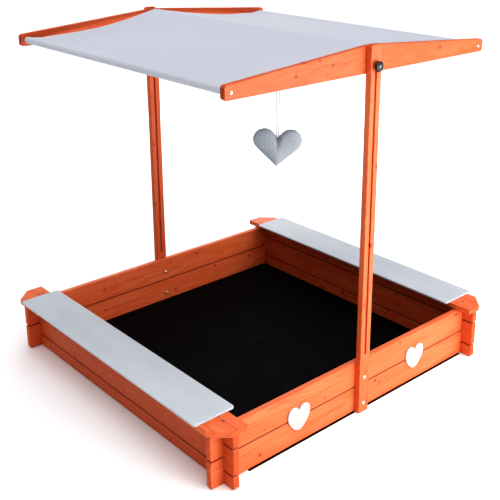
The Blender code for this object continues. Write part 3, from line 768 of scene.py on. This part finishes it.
def canopy_path():
    """The canopy's cross-section from hem to hem: (points, sag weights, seam).

    The weight says how far a point may sag. It is 0 on the rails and 1 halfway up a slope. The seam
    is where the left hem pocket is sewn to the slope.
    """
    rail_low, rail_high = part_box("left_rail")
    rail_radius = (rail_high.z - rail_low.z) / 2
    eave = Vector(((rail_low.x + rail_high.x) / 2, (rail_low.z + rail_high.z) / 2))
    ridge_height = middle("ridge_rail").z
    hem_radius = rail_radius + CLOTH_THICKNESS / 2 + HEM_SLACK
    fold_radius = rail_radius + RIDGE_CLEARANCE
    rise = math.degrees(math.atan2(ridge_height + fold_radius - eave.y, -eave.x))
    wrap = math.degrees(math.acos(hem_radius / HEM_DEPTH))
    along = Vector((math.cos(math.radians(rise)), math.sin(math.radians(rise))))
    seam = eave + along * HEM_DEPTH
    upper_seam = seam + Vector((0, SEAM_GAP))
    lower_seam = seam - Vector((0, SEAM_GAP))
    tail = lower_seam + along * HEM_TAIL
    hem = arc(eave, hem_radius, rise - wrap, rise + wrap - 360)
    fold = arc(Vector((0, ridge_height)), fold_radius, 90 + rise, 90 - rise, step=3)
    half = [tail] + spread(lower_seam, hem[0], HEM_WEB_STEPS) + hem
    half += spread(hem[-1], upper_seam, HEM_WEB_STEPS)[1:]
    weights = [0.0] * len(half)
    for item in range(1, SLOPE_STEPS):
        share = item / SLOPE_STEPS
        weight = 4 * share * (1 - share)
        half.append(upper_seam.lerp(fold[0], share) - Vector((0, slope_drop(share, weight))))
        weights.append(weight)
    return half + fold + mirrored(half), weights + [0.0] * len(fold) + weights[::-1], seam


def canopy_stations():
    """Places along the ridge direction, closest together where the side hems' thickness steps."""
    inner = CANOPY_HALF_LENGTH - SIDE_HEM_WIDTH
    edge = [CANOPY_HALF_LENGTH, CANOPY_HALF_LENGTH - EDGE_STEP] + [inner + step for step in HEM_STEPS]
    start = inner - HEM_INNER_GAP
    between = [start - 2 * start * item / CANOPY_STEPS for item in range(CANOPY_STEPS + 1)]
    return edge + between + [-y for y in reversed(edge)]


def hem_lift(y):
    """The side hem is folded double, so the cloth is thicker there."""
    inside = abs(y) - (CANOPY_HALF_LENGTH - SIDE_HEM_WIDTH)
    return SIDE_HEM_LIFT * limited(inside / SIDE_HEM_BLEND + 0.5)


def edge_pull(y):
    """From 0 inside the canopy to 1 on its front and back edges, where the cloth is drawn in."""
    return (abs(y) / CANOPY_HALF_LENGTH) ** EDGE_PULL_POWER


def ripple(x, y):
    """Faint draws in the stretched cloth."""
    draw = math.sin(7.0 * x + 5.0 * y) * math.sin(11.0 * y - 3.0 * x + 1.0)
    crease = math.sin(31.0 * x + 9.0 * math.sin(6.0 * y))
    return RIPPLE_HEIGHT * draw + CREASE_HEIGHT * crease


def lift_of(x, y, weight):
    """How far ripples and the drawn edges lift the cloth, or lower it."""
    return weight * ripple(x, y) - CANOPY_EDGE_SAG * edge_pull(y) * weight


def draw_of(y, weight):
    """How far the cloth is drawn in along the ridge direction, towards the middle."""
    return math.copysign(CANOPY_EDGE_DRAW * weight**CANOPY_DRAW_TAPER * edge_pull(y), y)


def canopy_cloth(made_of, thread):
    """The whole canopy as one folded sheet with its hem pockets and side hems."""
    path, weights, seam = canopy_path()
    form = bmesh.new()
    rows = []
    for y in canopy_stations():
        level = []
        for point, weight in zip(path, weights):
            level.append(Vector((point.x, point.y + lift_of(point.x, y, weight))))
        left, right = sides_of(level, SINGLE_THICKNESS + 2 * hem_lift(y))
        row = []
        for point, weight in zip(left + right[::-1], weights + weights[::-1]):
            row.append(form.verts.new((point.x, y - draw_of(y, weight), point.y)))
        rows.append(row)
    for low, high in zip(rows, rows[1:]):
        strip(form, low, high)
    for row in (rows[0], rows[-1]):
        for item in range(len(path) - 1):
            form.faces.new((row[item], row[item + 1], row[-item - 2], row[-item - 1]))
    bmesh.ops.recalc_face_normals(form, faces=form.faces)
    cloth = new_piece("canopy_cloth", form, made_of, "roof")
    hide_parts("canopy")
    canopy_stitches(seam, path, weights, thread)


def canopy_stitches(seam, path, weights, thread):
    """Lockstitch along both hem pockets and both side hems, on top of the cloth."""
    form = bmesh.new()
    start_y = STITCH_MARGIN - CANOPY_HALF_LENGTH
    count = int(2 * (CANOPY_HALF_LENGTH - STITCH_MARGIN) / STITCH_PITCH)
    for side in (-1, 1):
        for item in range(count):
            y = start_y + item * STITCH_PITCH
            start = Vector((side * -seam.x, y, seam.y)) + UP * CLOTH_THICKNESS
            end = start + Vector((0, STITCH_PITCH * STITCH_SHARE, 0))
            add_stitch(form, start, end, UP, STITCH_RADIUS)
    slope = [(point, weight) for point, weight in zip(path, weights) if weight > 0]
    for side in (-1, 1):
        for low, high in zip(slope, slope[1:]):
            count = max(1, round((high[0] - low[0]).length / STITCH_PITCH))
            for item in range(count):
                start = side_hem_point(low, high, item / count, side)
                end = side_hem_point(low, high, (item + STITCH_SHARE) / count, side)
                add_stitch(form, start, end, UP, STITCH_RADIUS)
    bmesh.ops.recalc_face_normals(form, faces=form.faces)
    stitches = new_piece("canopy_stitches", form, thread, "roof")
    return stitches


def side_hem_point(low, high, share, side):
    """A point on a side hem's line of stitches, between two (point, weight) places of the path."""
    flat = low[0].lerp(high[0], share)
    weight = low[1] + (high[1] - low[1]) * share
    y = side * (CANOPY_HALF_LENGTH - SIDE_HEM_WIDTH + SIDE_STITCH_INSET)
    return Vector((flat.x, y - draw_of(y, weight), flat.y + lift_of(flat.x, y, weight) + CLOTH_THICKNESS))


# Stuffed heart


def heart_outline():
    """The heart from the front, with its tip near the origin.

    Two straight sides go up to two round lobes, and these meet in the cleft.
    """
    lobe_x = HEART_WIDTH / 2 - HEART_LOBE_RADIUS
    lobe_z = HEART_HEIGHT - HEART_LOBE_RADIUS
    reach = math.hypot(lobe_x, lobe_z)
    tangent = math.degrees(math.atan2(-lobe_z, -lobe_x) + math.acos(HEART_LOBE_RADIUS / reach))
    lobe = arc(Vector((lobe_x, lobe_z)), HEART_LOBE_RADIUS, tangent, HEART_LOBE_END, step=4)
    side = [lobe[0] * ((item + HEART_TIP_START) / HEART_SIDE_STEPS) for item in range(HEART_SIDE_STEPS)]
    cleft = Vector((0, HEART_CLEFT))
    dip = spread(lobe[-1], cleft, HEART_DIP_STEPS)[1:]
    right = side + lobe + dip
    return right + [cleft] + mirrored(right)


def heart_depth(flat, share, reached, side):
    """Half the heart's thickness at a place: puffed out, puckered at the seam, creased and dimpled."""
    steepness, roundness = HEART_PUFF_POWERS
    puff = HEART_THICKNESS / 2 * (1 - share**steepness) ** roundness
    pucker = PUCKER_DEPTH * share**6 * math.sin(reached * GATHER_RATE)
    crease = CREASE_DEPTH * math.exp(-((flat.x / CREASE_WIDTH) ** 2))
    crease *= limited((flat.y - CREASE_START) / CREASE_FADE)
    dimple = DIMPLE_DEPTH * math.sin(flat.x * 95 + 1.3 * side) * math.sin(flat.y * 80)
    return max(HEART_LEAST_DEPTH, puff + pucker - crease + dimple)


def heart_place(flat, depth):
    """A point of the heart before it is turned: x across, y towards the back, z up from the tip."""
    return Vector((flat.x, depth, flat.y))


def heart_turned(direction):
    """A direction of the upright heart as it points when the heart leans and is turned."""
    lean_x = direction.x * math.cos(HEART_LEAN) + direction.z * math.sin(HEART_LEAN)
    lean_z = -direction.x * math.sin(HEART_LEAN) + direction.z * math.cos(HEART_LEAN)
    x = lean_x * math.cos(HEART_TURN) - direction.y * math.sin(HEART_TURN)
    y = lean_x * math.sin(HEART_TURN) + direction.y * math.cos(HEART_TURN)
    return Vector((x, y, lean_z))


def heart_anchor():
    """The cleft's place, where the ribbon's ends lie."""
    low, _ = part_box("stuffed_heart")
    return Vector((0, middle("ribbon").y, low.z + HEART_CLEFT * math.cos(HEART_LEAN)))


def hung(point, anchor):
    """A point of the upright heart, where it is when the heart hangs by its cleft from the anchor."""
    return anchor + heart_turned(point - UP * HEART_CLEFT)


def stuffed_heart(made_of, thread):
    """A plump heart: two sewn faces, gathered along the seam and drawn in below the cleft."""
    outline = heart_outline()
    along = lengths(outline)
    form = bmesh.new()
    seam = []
    for point, reached in zip(outline, along):
        gather = 1 + GATHER_SIZE * math.sin(reached * GATHER_RATE)
        gather += SLOW_GATHER_SIZE * math.sin(reached * SLOW_GATHER_RATE + 1)
        seam.append(form.verts.new(heart_place(HEART_CENTRE.lerp(point, gather), 0.0)))
    for side in (-1, 1):
        rings = [seam]
        for step in range(1, HEART_RINGS):
            share = 1 - step / HEART_RINGS
            ring = []
            for point, reached in zip(outline, along):
                flat = HEART_CENTRE.lerp(point, share)
                depth = side * heart_depth(flat, share, reached, side)
                ring.append(form.verts.new(heart_place(flat, depth)))
            rings.append(ring)
        crown = form.verts.new(heart_place(HEART_CENTRE, side * HEART_THICKNESS / 2))
        for outer, inner in zip(rings, rings[1:]):
            strip(form, outer, inner)
        last = rings[-1]
        for item, vertex in enumerate(last):
            form.faces.new((vertex, last[(item + 1) % len(last)], crown))
    bmesh.ops.recalc_face_normals(form, faces=form.faces)
    anchor = heart_anchor()
    for vertex in form.verts:
        vertex.co = hung(vertex.co, anchor)
    heart = new_piece("heart_cushion", form, made_of, "heart")
    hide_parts("stuffed_heart")
    heart_stitches(outline, thread)


def heart_stitches(outline, thread):
    """The whipped stitches over the heart's seam, from its front face to its back one."""
    form = bmesh.new()
    anchor = heart_anchor()
    target = 0.0
    for point, after, start in zip(outline, outline[1:], lengths(outline)):
        span = (after - point).length
        while target < start + span:
            flat = point.lerp(after, (target - start) / span)
            inner = HEART_CENTRE.lerp(flat, WHIP_REACH)
            outward = heart_place(flat - HEART_CENTRE, 0).normalized()
            crown = heart_place(flat, 0) + outward * WHIP_CROWN_LIFT
            for side in (-1, 1):
                end = heart_place(inner, side * WHIP_SPREAD) + outward * WHIP_END_LIFT
                ends = (hung(crown, anchor), hung(end, anchor))
                add_stitch(form, *ends, heart_turned(outward), WHIP_RADIUS)
            target += WHIP_PITCH
    bmesh.ops.recalc_face_normals(form, faces=form.faces)
    stitches = new_piece("heart_stitches", form, thread, "heart")


# Ribbon


def ribbon_path():
    """The ribbon's middle line in x and z: up from the cleft, over the ridge rail and down again."""
    low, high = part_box("ridge_rail")
    radius = (high.z - low.z) / 2 + RIBBON_CLEARANCE + RIBBON_THICKNESS / 2
    centre = Vector((0, (low.z + high.z) / 2))
    end_z = heart_anchor().z - RIBBON_END_DEPTH
    lean = math.degrees((radius - RIBBON_SPREAD) / (centre.y - end_z))
    over = arc(centre, radius, 180 + lean, -lean)
    rising = spread(Vector((-RIBBON_SPREAD, end_z)), over[0], RIBBON_STEPS)
    falling = spread(Vector((RIBBON_SPREAD, end_z)), over[-1], RIBBON_STEPS)[::-1]
    return rising + over + falling


def ribbon_loop(made_of):
    """The satin ribbon that the heart hangs from."""
    path = ribbon_path()
    ribbon_y = middle("ribbon").y
    form = bmesh.new()
    rows = []
    for outer, inner in zip(*sides_of(path, RIBBON_THICKNESS)):
        row = []
        for point, side in ((outer, -1), (outer, 1), (inner, 1), (inner, -1)):
            row.append(form.verts.new((point.x, ribbon_y + side * RIBBON_WIDTH / 2, point.y)))
        rows.append(row)
    for low, high in zip(rows, rows[1:]):
        strip(form, low, high)
    form.faces.new(rows[0][::-1])
    form.faces.new(rows[-1])
    bmesh.ops.recalc_face_normals(form, faces=form.faces)
    ribbon = new_piece("heart_ribbon_loop", form, made_of, smooth=False)
    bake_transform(ribbon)
    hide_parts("ribbon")


# Ground sheet


def sheet_wrinkle(x, y, half_x, half_y):
    """The membrane's low folds inside the pit. Under the walls it is flat."""
    inside = min(half_x - SHEET_FLAT_RIM - abs(x), half_y - SHEET_FLAT_RIM - abs(y))
    folds = math.sin(9 * x + 4 * math.sin(5 * y)) * math.sin(7 * y + 1.2)
    ridges = abs(math.sin(6 * x - 9 * y + 2 * math.sin(8 * x)))
    height = SHEET_FOLD_HEIGHT * max(0.0, folds) + SHEET_FOLD_HEIGHT * (1 - ridges) ** 4
    return limited(inside / SHEET_FADE) * height


def grid_lines(half, wanted, count):
    """Even lines from -half to half, with the nearest ones moved onto the wanted places."""
    lines = [-half + 2 * half * item / count for item in range(count + 1)]
    for place in wanted:
        nearest = min(range(1, count), key=lambda item: abs(lines[item] - place))
        lines[nearest] = place
    return lines


def sheet_cells(columns, lines, notch_x, notch_y):
    """The (i, j) cells that the sheet covers, and their area.

    The cells in the notches round the posts and those beside the flaps are left out.
    """
    kept = set()
    area = 0.0
    for i in range(len(columns) - 1):
        for j in range(len(lines) - 1):
            x = (columns[i] + columns[i + 1]) / 2
            y = (lines[j] + lines[j + 1]) / 2
            in_notch = abs(x) < notch_x and abs(y) > notch_y
            beside_flap = abs(y) > SHEET_HALF_Y and not SHEET_FLAP_X[0] < x < SHEET_FLAP_X[1]
            if not in_notch and not beside_flap:
                kept.add((i, j))
                area += (columns[i + 1] - columns[i]) * (lines[j + 1] - lines[j])
    return kept, area


def ground_sheet(made_of):
    """The membrane that the walls stand on, notched round the posts."""
    low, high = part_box("ground_sheet")
    half_x, half_y = high.x, high.y
    notch_x = SHEET_NOTCH_HALF_WIDTH
    notch_y = -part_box("front_board_lower")[0].y - SHEET_NOTCH_GAP
    columns = grid_lines(half_x, [-notch_x, notch_x, *SHEET_FLAP_X], SHEET_COLUMNS)
    lines = grid_lines(half_y, [-notch_y, notch_y, -SHEET_HALF_Y, SHEET_HALF_Y], SHEET_LINES)
    form = bmesh.new()
    top, bottom = {}, {}
    for i, x in enumerate(columns):
        for j, y in enumerate(lines):
            z = low.z + sheet_wrinkle(x, y, half_x, half_y)
            top[i, j] = form.verts.new((x, y, z + SHEET_THICKNESS))
            bottom[i, j] = form.verts.new((x, y, z + SHEET_LIFT))
    kept, area = sheet_cells(columns, lines, notch_x, notch_y)
    for i, j in kept:
        corners = [(i, j), (i + 1, j), (i + 1, j + 1), (i, j + 1)]
        form.faces.new([top[corner] for corner in corners])
        form.faces.new([bottom[corner] for corner in reversed(corners)])
        beside = [(i, j - 1), (i + 1, j), (i, j + 1), (i - 1, j)]
        for step, other in enumerate(beside):
            if other not in kept:
                a, b = corners[step], corners[(step + 1) % 4]
                form.faces.new((top[b], top[a], bottom[a], bottom[b]))
    loose = [vertex for vertex in form.verts if not vertex.link_faces]
    bmesh.ops.delete(form, geom=loose, context="VERTS")
    sheet = new_piece("ground_membrane", form, made_of, "base")
    sheet.data.set_sharp_from_angle(angle=SHEET_SHARP_ANGLE)
    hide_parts("ground_sheet")


# Materials on the CAD nodes


def finish_node(node, made_of):
    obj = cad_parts[node]
    obj.data.materials.clear()
    obj.data.materials.append(made_of)


def dress_nodes():
    """Gives every shown CAD node its material, by the kind of part that it is."""
    plastic = moulded_plastic()
    for seed, node in enumerate(sorted(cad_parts)):
        if node in ("canopy", "ribbon", "stuffed_heart", "ground_sheet"):
            continue
        if node.endswith(("screw", "bolt", "washer")) or "_bolt_" in node or "_nut_" in node:
            bright = DULL_ZINC if "corner" in node else 1.0
            finish_node(node, zinc_plate(f"zinc_{node}", seed, bright))
        elif node.endswith("knob"):
            finish_node(node, plastic)
        elif node.endswith("_bench"):
            finish_node(node, painted_wood(node, seed, BENCH_PAINT, BENCH_WORN, 0.46))
        elif node.endswith("wooden_heart"):
            finish_node(node, painted_wood(node, seed, HEART_PAINT, HEART_WORN, 0.45))
        else:
            finish_node(node, stained_wood(node, seed))


# Stage

FLOOR_RADIUS = 40
FLOOR_SEGMENTS = 96
BACKDROP_RADIUS = 39
BACKDROP_GLOW = 0.72
SUN_STRENGTH = 2.1
SUN_ANGLE = math.radians(80)
SUN_TILT = math.radians(14)
SKY_COLOUR = (0.95, 0.97, 1.0, 1)
SKY_STRENGTH = 0.26


def pale_floor():
    """A matt floor, nearly white, that reaches out to the backdrop."""
    form = bmesh.new()
    bmesh.ops.create_circle(form, cap_ends=True, segments=FLOOR_SEGMENTS, radius=FLOOR_RADIUS)
    pale = (0.94, 0.94, 0.945)
    made, shader, nodes = new_material("pale_floor", pale, Specular_IOR_Level=0.1, Roughness=0.9)
    patch = nodes.noise(nodes.place(), 1.4, 3.0)
    nodes.put(
        shader.inputs["Base Color"],
        nodes.mix(nodes.remap(patch, 0.3, 0.7), pale, (0.92, 0.92, 0.93)),
    )
    new_piece("floor", form, made)


def pale_backdrop():
    """A glowing dome that only the camera sees, so that it doesn't light the object."""
    form = bmesh.new()
    bmesh.ops.create_icosphere(form, subdivisions=4, radius=BACKDROP_RADIUS)
    made, shader, nodes = new_material(
        "pale_backdrop",
        (0.95, 0.95, 0.95),
        Specular_IOR_Level=0.0,
        Base_Color=(0, 0, 0, 1),
        Emission_Strength=BACKDROP_GLOW,
    )
    haze = nodes.noise(nodes.place(), 0.05, 2.0)
    nodes.put(shader.inputs["Emission Color"], nodes.mix(haze, (0.93, 0.93, 0.93), (0.97, 0.97, 0.97)))
    backdrop = new_piece("backdrop", form, made)
    backdrop.visible_diffuse = False
    backdrop.visible_glossy = False
    backdrop.visible_shadow = False
    backdrop.visible_transmission = False


def soft_box(name, place, target, size, power, colour):
    """A rectangular studio light that the camera doesn't see."""
    light = bpy.data.lights.new(name, "AREA")
    light.shape = "RECTANGLE"
    light.size, light.size_y = size
    light.energy = power
    light.color = colour
    lamp = bpy.data.objects.new(name, light)
    lamp.location = place
    lamp.rotation_euler = (Vector(target) - Vector(place)).to_track_quat("-Z", "Y").to_euler()
    lamp.visible_camera = False
    bpy.context.scene.collection.objects.link(lamp)


def studio_lights():
    """A low soft key in front, a soft fill from the back right, a wide sun overhead and an even sky."""
    soft_box(
        "key",
        place=(0.7, -2.5, 0.70),
        target=(0.2, -0.5, 0.50),
        size=(2.2, 1.4),
        power=46,
        colour=(1.0, 0.97, 0.93),
    )
    soft_box(
        "fill",
        place=(2.0, 3.0, 1.2),
        target=(0.0, 0.4, 0.5),
        size=(2.2, 1.3),
        power=26,
        colour=(1.0, 0.98, 0.96),
    )
    sun = bpy.data.lights.new("overhead", "SUN")
    sun.energy = SUN_STRENGTH
    sun.angle = SUN_ANGLE
    lamp = bpy.data.objects.new("overhead", sun)
    lamp.rotation_euler = (SUN_TILT, 0, 0)
    bpy.context.scene.collection.objects.link(lamp)

    world = bpy.data.worlds.new("studio")
    bpy.context.scene.world = world
    world.use_nodes = True
    sky = world.node_tree.nodes["Background"]
    sky.inputs["Color"].default_value = SKY_COLOUR
    sky.inputs["Strength"].default_value = SKY_STRENGTH


def add_camera():
    lens = bpy.data.cameras.new("camera")
    lens.sensor_width = CAMERA_SENSOR
    lens.lens = CAMERA_LENS
    lens.shift_x, lens.shift_y = CAMERA_SHIFT
    camera = bpy.data.objects.new("camera", lens)
    camera.location = CAMERA_PLACE
    camera.rotation_euler = (math.radians(90 - CAMERA_DROP), 0, math.radians(-CAMERA_TURN))
    bpy.context.scene.collection.objects.link(camera)
    bpy.context.scene.camera = camera


add_camera()
satin = woven_cloth(
    "satin_ribbon", RIBBON_WHITE, RIBBON_SHADE, RIBBON_THREAD_PITCH, axes=(1, 2), rough=0.45, slub=0.3
)
ribbon_loop(satin)
pale_floor()
pale_backdrop()
studio_lights()
dress_nodes()
grey_thread = sewing_thread("grey_thread", GREY_THREAD)
blue_thread = sewing_thread("blue_thread", BLUE_THREAD)
canopy_cloth(woven_cloth("canopy_weave", CANOPY_GREY, CANOPY_SHADE, CANOPY_THREAD_PITCH), grey_thread)
stuffed_heart(heather_jersey(), blue_thread)
ground_sheet(black_membrane())
scene = bpy.context.scene
scene.view_settings.view_transform = "Standard"
scene.view_settings.look = "High Contrast"
